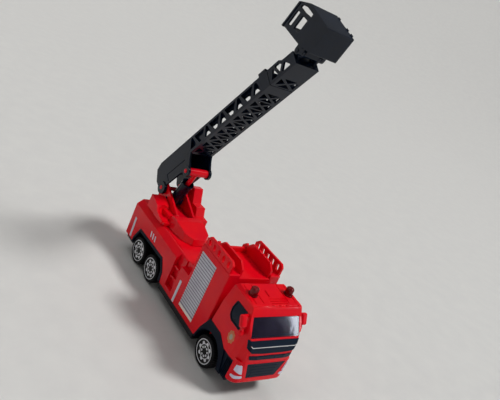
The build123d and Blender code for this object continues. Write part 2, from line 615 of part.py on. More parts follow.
def make_console():
    """Operator's console on the truck's right-hand side, with a scooped seat."""
    outline = [
        (45.6, 43.0), (46.0, 44.9), (51.0, 45.2), (56.6, 46.6), (59.4, 50.2), (63.0, 51.5), (70.6, 53.0), (72.2, 42.6),
    ]
    console = prism_x(outline, 9.0, 19.6)
    console = fillet(console.edges().filter_by(Axis.X).group_by(Axis.Z)[-1], 0.9)
    console -= Pos(13.9, 54.2, 49.6) * Sphere(5.7)
    console = mirror(console - block(8, 13.4, 48.8, 90, 40, TABLE_TOP) - table_disc(), about=Plane.YZ)
    console -= block(-14.2, 0, 40, 48.8, 40, 60)
    keep("control_console", console - console_skirt())


def make_access_steps():
    """Three-tread steps up the truck's left-hand side of the turntable."""
    outline = [
        (45.8, 42.6), (45.8, 48.0), (52.0, 48.2), (54.8, 54.4), (61.8, 54.2), (66.8, 64.7),
        (71.8, 64.2), (73.2, 54.0), (74.6, 42.6),
    ]
    steps = prism_x(outline, 11.8, 19.8)
    steps -= block(11, 13.4, 40, 90, 40, TABLE_TOP) + table_disc()
    keep("access_steps", steps)


# ---- Boom ----
BOOM = Pos(0, PIVOT_Y, PIVOT_Z) * Rot(-REST_PITCH, 0, 0)


def along(points, x0, x1, radius=0.0):
    """Outline in (distance along the boom, height above its pivot) swept along X."""
    return prism_x([(-u, v) for u, v in points], x0, x1, radius)


def strip(u0, u1, v0, v1, x0, x1):
    return block(x0, x1, -u1, -u0, v0, v1)


def truss_windows(start, end, low, high, x0, x1):
    """Triangular openings between the chords of a side truss, alternating up and down."""
    windows = []
    count = int((end - start) / TRUSS_PITCH)
    for index in range(count):
        a = start + index * TRUSS_PITCH
        b = a + TRUSS_PITCH
        if index % 2:
            points = [(a - 1.6, high), (b + 1.6, high), (b - 2.9, low), (a + 2.9, low)]
        else:
            points = [(a + 0.6, low), (b - 0.6, low), (b - 3.6, high), (a + 3.6, high)]
        windows.append(along(points, x0, x1, 0.5))
    return windows


def lattice_windows(start, end, half, v0, v1):
    """Four triangles in each bay of a flat panel, leaving a crossed pair of bars."""
    windows = []
    count = int((end - start) / TRUSS_PITCH)
    for index in range(count):
        a = start + index * TRUSS_PITCH + 0.55
        b = a + TRUSS_PITCH - 1.1
        mid = (a + b) / 2
        triangles = [
            [(-half + 2.0, a), (half - 2.0, a), (0, mid - 0.7)],
            [(-half + 2.0, b), (half - 2.0, b), (0, mid + 0.7)],
            [(-half, a + 1.0), (-half, b - 1.0), (-1.9, mid)],
            [(half, a + 1.0), (half, b - 1.0), (1.9, mid)],
        ]
        for points in triangles:
            windows.append(prism_z([(x, -u) for x, u in points], v0, v1))
    return windows


def boom_side():
    """One side plate: deep base with two ears, then a truss up to the solid end."""
    outline = [
        (-2.6, 16.8), (4.2, BOOM_TOP), (BOOM_END, BOOM_TOP), (BOOM_END, BOOM_BOTTOM), (42.0, BOOM_BOTTOM),
        (39.6, 4.6), (37.2, -1.6), (30.0, -1.6), (26.0, -0.5), (5.0, -0.5), (-4.6, 1.0), (-6.0, 8.0),
    ]
    x0 = BOOM_HALF_WIDTH - BOOM_SIDE
    side = along(outline, x0, BOOM_HALF_WIDTH)
    side += rod_x(0, 0, 4.9, x0, BOOM_HALF_WIDTH + 0.9)
    side += rod_x(-HEAD_PIN[0], HEAD_PIN[1], 4.2, x0, BOOM_HALF_WIDTH + 0.4)
    side -= along([(9.0, 0.8), (9.0, 6.6), (34.0, 6.6), (28.0, 0.8)], BOOM_HALF_WIDTH - 0.35, 12)
    for window in truss_windows(TRUSS_START - 0.1, BOOM_END - 7.0, BOOM_BOTTOM + 2.0, BOOM_TOP - 1.7, 5, 12):
        side -= window
    side -= rod_x(-HEAD_PIN[0], HEAD_PIN[1], PIN_RADIUS + RUNNING_GAP, 0, 20)
    side -= rod_x(0, 0, PIN_RADIUS, 0, 20)
    return side


def make_boom():
    x = BOOM_HALF_WIDTH - BOOM_SIDE
    boom = both_sides(boom_side())
    boom += strip(3.4, TRUSS_START - 1.0, BOOM_TOP - 1.5, BOOM_TOP, -x, x)
    panel = strip(TRUSS_START - 1.0, BOOM_END, BOOM_BOTTOM, BOOM_BOTTOM + 1.2, -x, x)
    for window in lattice_windows(TRUSS_START, BOOM_END - 4.0, x - 1.0, BOOM_BOTTOM - 1, BOOM_BOTTOM + 2):
        panel -= window
    boom += panel
    boom += both_sides(strip(TRUSS_START - 1.0, BOOM_END, BOOM_TOP - 1.5, BOOM_TOP, FLANGE_EDGE, x))
    boom += strip(-1.0, 3.4, BOOM_TOP - 4.8, BOOM_TOP - 1.8, -x, x)
    keep("boom_outer", BOOM * boom)
    clip = strip(123.4, 130.2, BOOM_TOP, BOOM_TOP + 1.2, -BOOM_HALF_WIDTH, BOOM_HALF_WIDTH)
    clip += both_sides(strip(123.4, 130.2, BOOM_TOP, BOOM_TOP + 2.3, 7.0, BOOM_HALF_WIDTH))
    keep("section_stop", BOOM * clip)
    reach = BOOM_HALF_WIDTH + 1.2
    keep("boom_pivot_pin", BOOM * rod_x(0, 0, PIN_RADIUS, -reach, reach))


def make_inner_section():
    """Sliding section: slim rails inside the boom and a full-width head past its end."""
    x = INNER_HALF_WIDTH - 1.3
    rail = strip(INNER_START, HEAD_START, INNER_BOTTOM, INNER_TOP, x, INNER_HALF_WIDTH)
    first = INNER_START + 17.4
    for window in truss_windows(first, HEAD_START - 4, INNER_BOTTOM + 1.2, INNER_TOP - 1.3, 4, 9):
        rail -= window
    inner = both_sides(rail)
    panel = strip(INNER_START, HEAD_START, INNER_BOTTOM, INNER_BOTTOM + 1.0, -x, x)
    for window in lattice_windows(INNER_START + 1, HEAD_START - 1, x - 0.8, INNER_BOTTOM - 1, INNER_BOTTOM + 2):
        panel -= window
    inner += panel
    for index in range(10):
        u = INNER_START + (index + 0.5) * TRUSS_PITCH
        inner += strip(u - 0.6, u + 0.6, INNER_TOP - 1.2, INNER_TOP, -x, x)
    inner += head_frame()
    keep("boom_inner", BOOM * inner)


def head_frame():
    x0 = BOOM_HALF_WIDTH - BOOM_SIDE
    outline = [
        (HEAD_START, BOOM_BOTTOM), (HEAD_START, BOOM_TOP), (142.6, BOOM_TOP), (145.0, 17.6),
        (HEAD_END, 17.4), (HEAD_END, BOOM_BOTTOM),
    ]
    side = along(outline, x0, BOOM_HALF_WIDTH)
    openings = [
        [(133.4, 10.4), (139.4, 10.4), (136.4, 17.2)],
        [(138.2, 17.6), (141.4, 17.6), (144.0, 15.8), (141.0, 11.2)],
        [(142.8, 10.4), (150.8, 10.4), (146.4, 15.6)],
    ]
    for points in openings:
        side -= along(points, 5, 12, 0.5)
    head = both_sides(side)
    panel = strip(HEAD_START, HEAD_END, BOOM_BOTTOM, BOOM_BOTTOM + 1.2, -x0, x0)
    for window in lattice_windows(HEAD_START + 0.2, 141.5, x0 - 1.0, BOOM_BOTTOM - 1, BOOM_BOTTOM + 2):
        panel -= window
    head += panel
    head += both_sides(strip(HEAD_START, HEAD_START + 1.6, BOOM_BOTTOM, BOOM_TOP, 6.6, x0))
    head += strip(150.4, HEAD_END, BOOM_BOTTOM, 10.4, -x0, x0)
    hinge_u, hinge_v = BASKET_HINGE
    fork = strip(HEAD_END - 1.6, HEAD_END, BOOM_BOTTOM, 17.0, 6.0, 8.0)
    fork += strip(HEAD_END - 1, hinge_u, hinge_v - KNUCKLE_RADIUS, hinge_v + KNUCKLE_RADIUS, 6.0, 8.0)
    fork += rod_x(-hinge_u, hinge_v, KNUCKLE_RADIUS, 6.0, 8.0)
    fork -= rod_x(-hinge_u, hinge_v, HINGE_PIN_RADIUS + RUNNING_GAP, 0, 20)
    return head + both_sides(fork)


# ---- Lift cylinder ----
def make_cylinder():
    """Barrel on its foot pin and rod on its head pin, both along the line between the pins."""
    head = (BOOM * Pos(0, -HEAD_PIN[0], HEAD_PIN[1])).position
    span = hypot(head.Y - FOOT_PIN[0], head.Z - FOOT_PIN[1])
    lean = degrees(atan2(head.Y - FOOT_PIN[0], head.Z - FOOT_PIN[1]))
    place = Pos(0, FOOT_PIN[0], FOOT_PIN[1]) * Rot(-lean, 0, 0)
    barrel = rod_z(0, 0, BARREL_RADIUS, 0, BARREL_LENGTH) + rod_x(0, 0, BARREL_RADIUS, -4.2, 4.2)
    barrel += rod_z(0, 0, BARREL_RADIUS + 0.4, BARREL_LENGTH - 2.2, BARREL_LENGTH)
    barrel -= rod_z(0, 0, BORE_RADIUS, 5.0, BARREL_LENGTH + 1)
    barrel += rod_x(0, 0, 1.5, -LUG_OUTER_X, LUG_OUTER_X)
    keep("cylinder_barrel", place * barrel)
    rod = rod_z(0, 0, ROD_RADIUS, span - ROD_LENGTH, span) + rod_x(0, span, TUBE_RADIUS, -8.1, 8.1)
    reach = BOOM_HALF_WIDTH + 0.7
    rod += rod_x(0, span, PIN_RADIUS, -reach, reach)
    keep("cylinder_rod", place * rod)


# ---- Basket ----
BASKET_SIDE = [(5.7, -10.0), (23.4, -9.6), (23.6, 14.1), (18.9, 23.4), (1.2, 23.9), (2.9, 1.0)]
BASKET_WINDOWS = [
    [(4.6, 17.2), (14.8, 17.2), (14.6, 20.4), (4.4, 20.4)],
    [(6.2, 8.0), (15.6, 8.0), (15.0, 13.8), (6.0, 13.8)],
    [(18.6, 7.2), (20.7, 7.2), (20.6, 14.8), (19.0, 19.4), (17.2, 19.8), (17.4, 14.2)],
]
BASKET_PLACE = BOOM * Pos(0, -BASKET_HINGE[0], BASKET_HINGE[1]) * Rot(-BASKET_TILT, 0, 0)


def make_basket():
    outer = along(BASKET_SIDE, -BASKET_HALF_WIDTH, BASKET_HALF_WIDTH, 0.5)
    inner_face = offset(Plane.YZ * Polygon(*[(-a, b) for a, b in BASKET_SIDE], align=None), -BASKET_WALL)
    inside_half = BASKET_HALF_WIDTH - BASKET_WALL
    inside = extrude(inner_face, inside_half, dir=(1, 0, 0), both=True)
    mouth = along([(2.7, 14.0), (17.9, 14.0), (17.9, 26.0), (2.7, 26.0)], -inside_half, inside_half)
    basket = outer - inside - mouth
    for points in BASKET_WINDOWS:
        basket -= along(points, -15, 15, 0.4)
    lip = along([(0.6, 22.6), (19.0, 22.1), (18.6, 23.4), (0.6, 23.9)], inside_half, BASKET_HALF_WIDTH + 0.5)
    basket += both_sides(lip)
    for v in (-6.5, -1.0, 10.0):
        basket += along([(21.6, v), (24.0, v), (24.0, v + 2.2), (21.6, v + 2.2)], 11.3, 12.0)
    for x0, x1 in ((-5.7, 5.7), (8.3, 11.0), (-11.0, -8.3)):
        knuckle = rod_x(0, 0, KNUCKLE_RADIUS, x0, x1)
        knuckle += along([(0, -KNUCKLE_RADIUS), (3.4, -KNUCKLE_RADIUS), (3.4, KNUCKLE_RADIUS), (0, KNUCKLE_RADIUS)], x0, x1)
        basket += knuckle
    basket -= rod_x(0, 0, HINGE_PIN_RADIUS, -12, 12)
    keep("basket", BASKET_PLACE * basket)
    keep("basket_pin", BASKET_PLACE * rod_x(0, 0, HINGE_PIN_RADIUS, -11.4, 11.4))


def centring_shift():
    """Distance along Y that puts the middle of the whole truck's box over the origin.

    The raised boom's heel overhangs the tail, so that middle is behind the body's own.
    """
    boxes = [shape.bounding_box() for shape in PARTS.values()]
    return -(min(box.min.Y for box in boxes) + max(box.max.Y for box in boxes)) / 2


def main():
    make_wheels()
    make_chassis()
    make_cab()
    make_bumper()
    make_steps()
    make_body()
    make_side_trim()
    make_turntable()
    make_boom()
    make_inner_section()
    make_cylinder()
    make_basket()
    os.makedirs("parts", exist_ok=True)
    shift = centring_shift()
    for name, shape in PARTS.items():
        export_step(Pos(0, shift, 0) * shape, f"parts/{name}.step")
    print(f"moved along Y by {shift:.4f} mm")


main()
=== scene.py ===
import math

import bmesh
import bpy
from mathutils import Matrix, Vector


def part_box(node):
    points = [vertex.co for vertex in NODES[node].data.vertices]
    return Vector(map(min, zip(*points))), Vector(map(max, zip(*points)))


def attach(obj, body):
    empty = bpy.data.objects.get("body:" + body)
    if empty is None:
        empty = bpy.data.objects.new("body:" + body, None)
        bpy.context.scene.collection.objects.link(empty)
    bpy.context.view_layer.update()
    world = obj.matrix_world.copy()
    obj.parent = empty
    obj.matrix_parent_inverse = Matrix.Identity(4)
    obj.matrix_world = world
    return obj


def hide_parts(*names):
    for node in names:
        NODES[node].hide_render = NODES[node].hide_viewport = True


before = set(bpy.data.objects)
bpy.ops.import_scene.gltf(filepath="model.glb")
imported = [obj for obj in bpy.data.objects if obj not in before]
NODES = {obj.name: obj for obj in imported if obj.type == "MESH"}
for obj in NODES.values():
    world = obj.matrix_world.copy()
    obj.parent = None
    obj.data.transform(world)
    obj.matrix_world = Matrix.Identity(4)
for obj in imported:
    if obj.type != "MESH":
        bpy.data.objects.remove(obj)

# Toy ladder fire engine: materials, fine detail, studio and camera.
# The truck's sizes are in millimetres until a mesh is finished. The studio's are in metres.
MM = 0.001
TURN = 2 * math.pi
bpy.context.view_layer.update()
SCENE = bpy.context.scene


# ---- Shader helpers ----
def new_material(name):
    """Empty material with a Principled shader wired to its output."""
    mat = bpy.data.materials.new(name)
    mat.use_nodes = True
    tree = mat.node_tree
    return mat, tree, tree.nodes["Principled BSDF"]


def coords(tree, scale=(1.0, 1.0, 1.0)):
    """Object coordinates, stretched by scale."""
    source = tree.nodes.new("ShaderNodeTexCoord")
    mapping = tree.nodes.new("ShaderNodeMapping")
    mapping.inputs["Scale"].default_value = scale
    tree.links.new(source.outputs["Object"], mapping.inputs["Vector"])
    return mapping.outputs["Vector"]


def noise(tree, vector, scale, detail):
    node = tree.nodes.new("ShaderNodeTexNoise")
    node.inputs["Scale"].default_value = scale
    node.inputs["Detail"].default_value = detail
    node.inputs["Roughness"].default_value = 0.55
    tree.links.new(vector, node.inputs["Vector"])
    return node.outputs["Fac"]


def blend(tree, value, low, shade, high, colour):
    """Colour that goes from shade at low to colour at high as value rises."""
    node = tree.nodes.new("ShaderNodeValToRGB")
    for point, position, tone in zip(node.color_ramp.elements, (low, high), (shade, colour)):
        point.position = position
        point.color = (*tone, 1.0)
    tree.links.new(value, node.inputs["Fac"])
    return node.outputs["Color"]


def span(tree, value, low, high, out_low, out_high):
    """Map a value from one range to another."""
    node = tree.nodes.new("ShaderNodeMapRange")
    limits = {"From Min": low, "From Max": high, "To Min": out_low, "To Max": out_high}
    for key, number in limits.items():
        node.inputs[key].default_value = number
    tree.links.new(value, node.inputs["Value"])
    return node.outputs["Result"]


def multiply(tree, a, b):
    node = tree.nodes.new("ShaderNodeMath")
    node.operation = "MULTIPLY"
    tree.links.new(a, node.inputs[0])
    tree.links.new(b, node.inputs[1])
    return node.outputs[0]


def bump(tree, height, strength, distance, below=None):
    """Bumped normal from a height, laid over the bump below if there is one."""
    node = tree.nodes.new("ShaderNodeBump")
    node.inputs["Strength"].default_value = strength
    node.inputs["Distance"].default_value = distance
    tree.links.new(height, node.inputs["Height"])
    if below is not None:
        tree.links.new(below, node.inputs["Normal"])
    return node.outputs["Normal"]


# ---- Materials ----
# Noise scales of moulded plastic, in cycles per metre, and the depths of its bumps in metres.
CLOUD_SCALE, SPECK_SCALE, SKIN_SCALE, SCUFF_SCALE = 55.0, 240.0, 160.0, 420.0
SKIN_DEPTH, SCUFF_DEPTH = 0.0001, 0.00003
COAT_ROUGHNESS = 0.06


def plastic(name, colour, shade, gloss, coat=0.0, peel=0.12, specular=0.5):
    """Moulded plastic: two close tones, uneven gloss, an orange-peel skin and fine scuffs."""
    mat, tree, shader = new_material(name)
    where = coords(tree)
    clouds = noise(tree, where, CLOUD_SCALE, 4.0)
    tone = blend(tree, clouds, 0.32, shade, 0.68, colour)
    tree.links.new(tone, shader.inputs["Base Color"])
    mixed = multiply(tree, clouds, noise(tree, where, SPECK_SCALE, 2.0))
    rough = span(tree, mixed, 0.1, 0.45, gloss * 0.85, gloss * 1.2)
    tree.links.new(rough, shader.inputs["Roughness"])
    scuff = noise(tree, coords(tree, (1.0, 5.0, 1.0)), SCUFF_SCALE, 5.0)
    skin = bump(tree, noise(tree, where, SKIN_SCALE, 2.0), peel, SKIN_DEPTH)
    tree.links.new(bump(tree, scuff, peel * 0.3, SCUFF_DEPTH, skin), shader.inputs["Normal"])
    shader.inputs["Specular IOR Level"].default_value = specular
    shader.inputs["Coat Weight"].default_value = coat
    shader.inputs["Coat Roughness"].default_value = COAT_ROUGHNESS
    return mat


def metal(name, colour, gloss):
    """Bright metal with fine drawn lines."""
    mat, tree, shader = new_material(name)
    lines = noise(tree, coords(tree, (1.0, 14.0, 14.0)), 160.0, 4.0)
    shade = tuple(0.82 * c for c in colour)
    tree.links.new(blend(tree, lines, 0.3, shade, 0.7, colour), shader.inputs["Base Color"])
    rough = span(tree, lines, 0.2, 0.8, gloss * 0.7, gloss * 1.5)
    tree.links.new(rough, shader.inputs["Roughness"])
    tree.links.new(bump(tree, lines, 0.12, 0.00004), shader.inputs["Normal"])
    shader.inputs["Metallic"].default_value = 1.0
    return mat


def smoked_glass():
    """Dark violet-grey glazing, part see-through, with faint moulding waves."""
    mat, tree, shader = new_material("smoked_glazing")
    where = coords(tree)
    clouds = noise(tree, where, 45.0, 3.0)
    tone = blend(tree, clouds, 0.3, (0.050, 0.036, 0.100), 0.7, (0.110, 0.090, 0.200))
    tree.links.new(tone, shader.inputs["Base Color"])
    tree.links.new(span(tree, clouds, 0.3, 0.7, 0.03, 0.09), shader.inputs["Roughness"])
    waves = noise(tree, where, 70.0, 2.0)
    tree.links.new(bump(tree, waves, 0.12, 0.0004), shader.inputs["Normal"])
    shader.inputs["Transmission Weight"].default_value = 0.85
    shader.inputs["IOR"].default_value = 1.45
    shader.inputs["Specular IOR Level"].default_value = 0.45
    return mat


def lens_red():
    """Slightly translucent dark red beacon lens with upright prism lines."""
    mat, tree, shader = new_material("beacon_lens")
    clouds = noise(tree, coords(tree), 300.0, 3.0)
    tone = blend(tree, clouds, 0.3, (0.10, 0.0, 0.002), 0.7, (0.22, 0.001, 0.004))
    tree.links.new(tone, shader.inputs["Base Color"])
    tree.links.new(span(tree, clouds, 0.3, 0.7, 0.06, 0.16), shader.inputs["Roughness"])
    prisms = noise(tree, coords(tree, (9.0, 9.0, 1.0)), 180.0, 1.0)
    tree.links.new(bump(tree, prisms, 0.3, 0.0002), shader.inputs["Normal"])
    shader.inputs["Transmission Weight"].default_value = 0.15
    shader.inputs["Specular IOR Level"].default_value = 0.25
    return mat


RED, CRIMSON = (0.78, 0.002, 0.008), (0.68, 0.001, 0.014)
# The blue tint of these two blacks is a painted reflection of a blue floor mirrored in the plastic; the
# plastic itself is plain black.
INK_WITH_PAINTED_BLUE_SHEEN, BLACK_WITH_PAINTED_BLUE_SHEEN = (0.0008, 0.004, 0.012), (0.0012, 0.006, 0.018)
# Plastics by key: name, colour, shade, gloss (a roughness) and what differs from plastic()'s own values.
PLASTICS = {
    "red": ("red_plastic", RED, CRIMSON, 0.22, dict(coat=0.12, peel=0.01, specular=0.14)),
    "black": ("black_plastic", BLACK_WITH_PAINTED_BLUE_SHEEN, INK_WITH_PAINTED_BLUE_SHEEN, 0.22, dict(coat=0.1, peel=0.02, specular=0.20)),
    "trim": ("black_trim_plastic", BLACK_WITH_PAINTED_BLUE_SHEEN, INK_WITH_PAINTED_BLUE_SHEEN, 0.36, dict(peel=0.03, specular=0.10)),
    "tyre": (
        "tyre_rubber", (0.006, 0.006, 0.007), (0.003, 0.003, 0.004), 0.5,
        dict(peel=0.1, specular=0.10),
    ),
    "hub": (
        "hub_plastic", (0.005, 0.006, 0.007), (0.003, 0.003, 0.004), 0.32,
        dict(peel=0.05, specular=0.25),
    ),
    "print": ("silver_print", (0.78, 0.79, 0.82), (0.66, 0.67, 0.72), 0.38, dict(peel=0.05)),
    "strip": ("reflective_strip", (0.72, 0.72, 0.80), (0.58, 0.58, 0.70), 0.30, dict(peel=0.05)),
    "shutter": ("shutter_silver", (0.62, 0.61, 0.68), (0.50, 0.48, 0.56), 0.36, dict(peel=0.05)),
    "lamp": (
        "lamp_silver", (0.72, 0.72, 0.86), (0.58, 0.58, 0.76), 0.22,
        dict(coat=0.3, peel=0.05),
    ),
    "gap": ("shutter_gap", (0.22, 0.21, 0.27), (0.16, 0.13, 0.19), 0.5, dict(peel=0.05)),
    "rail": ("shutter_rail", (0.86, 0.80, 0.74), (0.78, 0.70, 0.66), 0.32, dict(peel=0.05)),
    # The grille's blue tint is a painted reflection of a blue floor; the grille itself is black.
    "grille": (
        "grille_black", (0.002, 0.010, 0.026), (0.001, 0.007, 0.020), 0.14,
        dict(peel=0.02, specular=0.12),
    ),
    "seat": ("seat_plastic", (0.28, 0.010, 0.014), (0.20, 0.006, 0.010), 0.42, {}),
    "chassis": (
        "chassis_plastic", (0.004, 0.006, 0.010), (0.002, 0.004, 0.006), 0.42,
        dict(peel=0.1, specular=0.25),
    ),
    "door_glass": (
        "door_glazing", (0.001, 0.008, 0.022), (0.001, 0.005, 0.016), 0.12,
        dict(peel=0.01, specular=0.15),
    ),
    "gold": ("gold_print", (0.62, 0.16, 0.05), (0.50, 0.11, 0.03), 0.38, dict(peel=0.05)),
    "badge_centre": (
        "badge_centre_print", (0.42, 0.40, 0.30), (0.34, 0.30, 0.24), 0.38,
        dict(peel=0.05),
    ),
}


def make_materials():
    mats = {}
    for key, (name, colour, shade, gloss, extra) in PLASTICS.items():
        mats[key] = plastic(name, colour, shade, gloss, **extra)
    mats["bright"] = metal("bright_line", (0.80, 0.80, 0.83), 0.16)
    mats["steel"] = metal("steel", (0.52, 0.52, 0.53), 0.30)
    mats["glass"] = smoked_glass()
    mats["beacon"] = lens_red()
    return mats


# ---- Mesh helpers ----
WELD = 1e-4


def finish_mesh(name, bm, material, body, sharp=32.0):
    """Turn a millimetre bmesh into a shaded piece that rides on a body."""
    bmesh.ops.remove_doubles(bm, verts=bm.verts, dist=WELD)
    bmesh.ops.recalc_face_normals(bm, faces=bm.faces)
    bmesh.ops.scale(bm, vec=(MM, MM, MM), verts=bm.verts)
    mesh = bpy.data.meshes.new(name)
    bm.to_mesh(mesh)
    bm.free()
    mesh.polygons.foreach_set("use_smooth", [True] * len(mesh.polygons))
    mesh.set_sharp_from_angle(angle=math.radians(sharp))
    mesh.materials.append(material)
    obj = bpy.data.objects.new(name, mesh)
    SCENE.collection.objects.link(obj)
    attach(obj, body)
    return obj


def join_rings(bm, rings, closed=True):
    """Faces from each ring of corners to the next, and from the last to the first if closed."""
    for index in range(len(rings) if closed else len(rings) - 1):
        ring, after = rings[index], rings[(index + 1) % len(rings)]
        for i in range(len(ring)):
            j = (i + 1) % len(ring)
            bm.faces.new((ring[i], ring[j], after[j], after[i]))


def lathe_x(bm, profile, centre, count, wave):
    """Closed profile of (x, radius) turned about a line along X through centre (y, z).

    wave(x, radius, angle) is added to each radius.
    """
    rings = []
    for step in range(count):
        angle = TURN * step / count
        c, s = math.cos(angle), math.sin(angle)
        ring = []
        for x, radius in profile:
            reach = radius + wave(x, radius, angle)
            ring.append(bm.verts.new((x, centre[0] + reach * c, centre[1] + reach * s)))
        rings.append(ring)
    join_rings(bm, rings)


def band_x(bm, centre, x0, x1, inner, outer, start, end, count):
    """Thin raised print across X: between two radius functions, over an arc or a full turn."""
    full = end - start > TURN - 1e-6
    rows = []
    for step in range(count if full else count + 1):
        angle = start + (end - start) * step / count
        c, s = math.cos(angle), math.sin(angle)
        corners = ((x0, inner(angle)), (x0, outer(angle)), (x1, outer(angle)), (x1, inner(angle)))
        rows.append([bm.verts.new((x, centre[0] + r * c, centre[1] + r * s)) for x, r in corners])
    join_rings(bm, rows, closed=full)
    if not full:
        bm.faces.new(rows[0])
        bm.faces.new(rows[-1])


def slab(bm, outline, place, depth, bevel):
    """Flat outline pushed through depth, its edges rounded; place maps (a, b, depth) to (x, y, z)."""
    low = [bm.verts.new(place(a, b, 0.0)) for a, b in outline]
    high = [bm.verts.new(place(a, b, depth)) for a, b in outline]
    faces = [bm.faces.new(low), bm.faces.new(high)]
    for i in range(len(outline)):
        j = (i + 1) % len(outline)
        faces.append(bm.faces.new((low[i], low[j], high[j], high[i])))
    bmesh.ops.recalc_face_normals(bm, faces=faces)
    edges = list({edge for face in faces for edge in face.edges})
    bmesh.ops.bevel(
        bm, geom=edges, offset=bevel, segments=2, affect="EDGES", profile=0.5, clamp_overlap=True,
    )


def prism_box(bm, place, a0, a1, b0, b1, depth, bevel):
    slab(bm, [(a0, b0), (a1, b0), (a1, b1), (a0, b1)], place, depth, bevel)


def on_side_x(x, side):
    """Map (y, z, depth) onto the truck's flank, standing out from x."""
    return lambda a, b, d: (side * (x + d), a, b)


# ---- Places read from the frame ----
def middle(node):
    """Centre of a CAD node's box, in millimetres."""
    low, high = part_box(node)
    return (Vector(low) + Vector(high)) / (2 * MM)


SIDES = {"left": 1, "right": -1}
AXLES = {name: middle(f"axle_{name}") for name in ("front", "mid", "rear")}
# Places along the truck are written with the front axle at this y. SHIFT moves them to the frame's.
DRAWN_AXLE_Y = -52.2
SHIFT = AXLES["front"].y - DRAWN_AXLE_Y


# ---- Wheels ----
# Half of a tyre's section as (distance from the truck's middle, radius), with two grooves round it.
TYRE_PROFILE = [
    (14.3, 8.15), (14.3, 9.0), (14.35, 9.6), (14.7, 10.1), (15.3, 10.33), (16.3, 10.38), (16.75, 10.38),
    (16.8, 10.0), (17.3, 10.0), (17.35, 10.38), (18.25, 10.38), (18.3, 10.0), (18.8, 10.0), (18.85, 10.38),
    (19.4, 10.38), (20.3, 10.33), (20.85, 10.1), (21.15, 9.75), (21.22, 9.45), (21.28, 9.3), (21.28, 9.0),
    (21.2, 8.85), (21.22, 8.5), (21.28, 8.3), (21.28, 8.15),
]
TYRE_STEPS = 240
TREAD_BLOCKS, TREAD_HEIGHT, TREAD_STEEPNESS = 40, 0.11, 2.4
TREAD_FLOOR = 10.05
MIDDLE_ROW = (17.3, 18.3)


def tread(x, radius, angle):
    """Rows of small blocks round the tyre, those of the middle row set between the others."""
    if radius <= TREAD_FLOOR:
        return 0.0
    offset = math.pi if MIDDLE_ROW[0] < abs(x) < MIDDLE_ROW[1] else 0.0
    block = TREAD_STEEPNESS * math.cos(TREAD_BLOCKS * angle + offset)
    return TREAD_HEIGHT * max(-1.0, min(1.0, block))


def make_tyre(axle, word, side, material):
    bm = bmesh.new()
    centre = AXLES[axle]
    profile = [(side * x, radius) for x, radius in TYRE_PROFILE]
    lathe_x(bm, profile, (centre.y, centre.z), TYRE_STEPS, tread)
    tyre = finish_mesh(f"moulded_tyre_{axle}_{word}", bm, material, f"wheels_{axle}", 40)
    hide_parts(f"tyre_{axle}_{word}")


# Silver print on a wheel: where it starts and ends across X, and its radii.
RIM_X, DISH_X = (21.19, 21.25), (20.69, 20.76)
RIM_INNER, RIM_OUTER = 7.45, 8.0
LOBES, LOBE_INNER, LOBE_MIDDLE, LOBE_REACH, LOBE_SHARPNESS = 8, 4.45, 5.65, 0.75, 2.2
SPOKE_INNER, SPOKE_OUTER, SPOKE_HALF_ANGLE = 2.25, 3.55, 0.22


def lobe_edge(angle):
    """Outer edge of the lobed ring printed on each wheel."""
    wave = math.tanh(LOBE_SHARPNESS * math.cos(LOBES * angle))
    return LOBE_MIDDLE + LOBE_REACH * wave / math.tanh(LOBE_SHARPNESS)


def make_wheel_print(axle, word, side, material):
    """Rim line, lobed ring and short spokes between the lobes."""
    bm = bmesh.new()
    at = (AXLES[axle].y, AXLES[axle].z)
    rim = [side * x for x in RIM_X]
    dish = [side * x for x in DISH_X]
    band_x(bm, at, *rim, lambda a: RIM_INNER, lambda a: RIM_OUTER, 0, TURN, 96)
    band_x(bm, at, *dish, lambda a: LOBE_INNER, lobe_edge, 0, TURN, 192)
    for index in range(LOBES):
        mid = TURN * (index + 0.5) / LOBES
        start, end = mid - SPOKE_HALF_ANGLE, mid + SPOKE_HALF_ANGLE
        band_x(bm, at, *dish, lambda a: SPOKE_INNER, lambda a: SPOKE_OUTER, start, end, 8)
    finish_mesh(f"wheel_print_{axle}_{word}", bm, material, f"wheels_{axle}", 30)


def make_wheels(mats):
    for axle in AXLES:
        for word, side in SIDES.items():
            make_tyre(axle, word, side, mats["tyre"])
            make_wheel_print(axle, word, side, mats["print"])


# ---- Marks and fine parts on the flanks ----
FLANK = 21.5
# Prints start this far inside the flank, so that no gap shows, and have this rounding.
SUNK, PRINT_ROUNDING = 0.02, 0.02
# Roller shutter: its rectangle on the flank, the rail along its bottom and the slats above that.
SHUTTER = (-30.3, -11.8, 15.2, 58.8)
RAIL_HEIGHT, RAIL_DEPTH, RAIL_ROUNDING = 2.1, 0.25, 0.12
SLATS, SLATS_START, SLAT_DEPTH, SLAT_ROUNDING = 20, 2.6, 0.23, 0.2
SLAT_GAP_SHARE = 0.36
BACKING_INSET, BACKING_DEPTH = 0.1, 0.08


